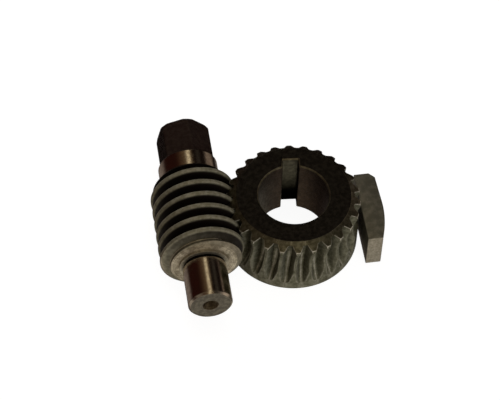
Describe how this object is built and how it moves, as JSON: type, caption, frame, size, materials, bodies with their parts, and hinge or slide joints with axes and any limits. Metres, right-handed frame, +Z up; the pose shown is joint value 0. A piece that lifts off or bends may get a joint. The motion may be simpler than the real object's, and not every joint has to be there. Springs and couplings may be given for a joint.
{
  "type": "worm gear set",
  "caption": "Single-start worm on a stepped shaft with a hexagonal drive end, in mesh with a keyed, throated worm wheel, and its loose parallel key.",
  "frame": {"origin": "on the surface that the set lies on, under the middle of its bounding box", "axes": "+Z up along the wheel's axis; the worm's axis runs along Y with its plain journal at -Y and its hexagon at +Y; the wheel is on the worm's +X side and the key on the wheel's +X side"},
  "size_m": [0.0896, 0.0824, 0.033],
  "materials": {
    "worm_steel": "ground journals, dark grooves, satin",
    "wheel_steel": "black oxide, satin, lighter worn crests",
    "key_steel": "dull grey-olive sides, lighter sawn end"
  },
  "bodies": {
    "key": {"key": "key_steel"},
    "worm": {"worm_shaft": "worm_steel"},
    "wheel": {"worm_wheel": "wheel_steel"}
  },
  "joints": [
    {"name": "worm_spin", "type": "hinge", "parent": "key", "child": "worm", "pos_m": [-0.02835, 0, 0.0165], "axis": [0, 1, 0], "continuous": true},
    {"name": "wheel_spin", "type": "hinge", "parent": "key", "child": "wheel", "pos_m": [0.00945, -0.0016, 0.0134], "axis": [0, 0, 1], "continuous": true}
  ],
  "couplings": [
    {"joint": "wheel_spin", "follows": "worm_spin", "ratio": 0.038462}
  ]
}
